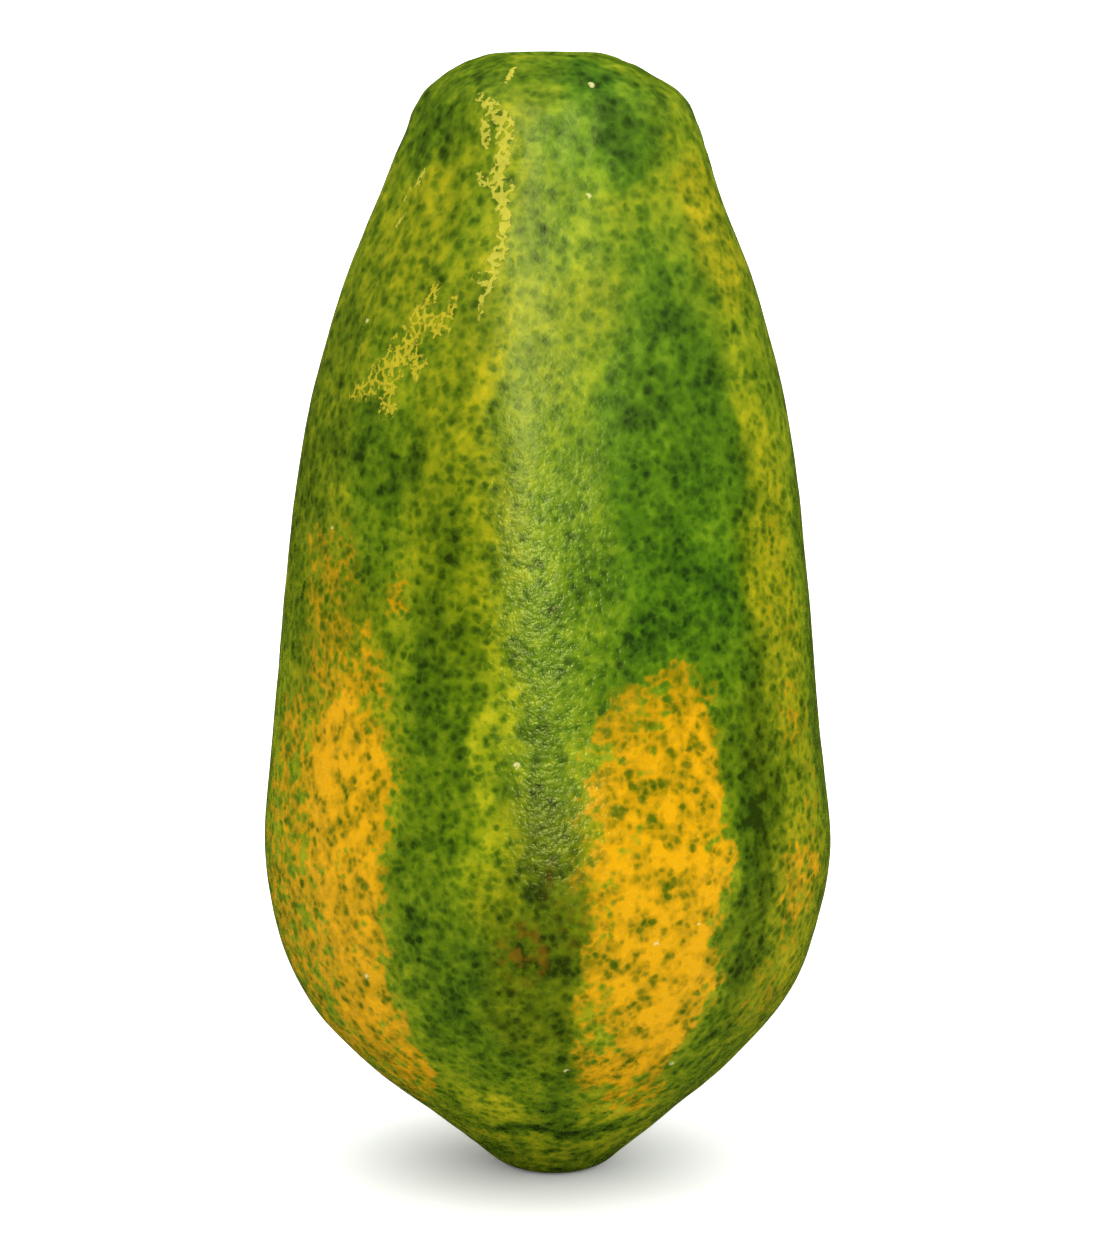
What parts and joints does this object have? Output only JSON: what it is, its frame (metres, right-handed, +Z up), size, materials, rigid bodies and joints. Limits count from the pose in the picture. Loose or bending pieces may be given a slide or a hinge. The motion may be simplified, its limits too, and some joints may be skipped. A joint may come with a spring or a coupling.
{
  "type": "papaya",
  "caption": "Whole papaya of long pear shape with five soft ridges, a hollow with the stem scar on top and a small flat spot on its blossom end that it stands on.",
  "frame": {"origin": "middle of the small flat spot on the blossom end that the fruit stands on", "axes": "+Z up along the fruit towards the stem scar, -Y towards the viewer of the picture, +X to the viewer's right"},
  "size_m": [0.1263, 0.1278, 0.2507],
  "materials": {
    "skin": "waxy fruit skin, half gloss, finely pitted, dark green specks over lime green with orange-yellow ripening patches"
  },
  "bodies": {
    "root": {"fruit": "skin"}
  },
  "joints": []
}
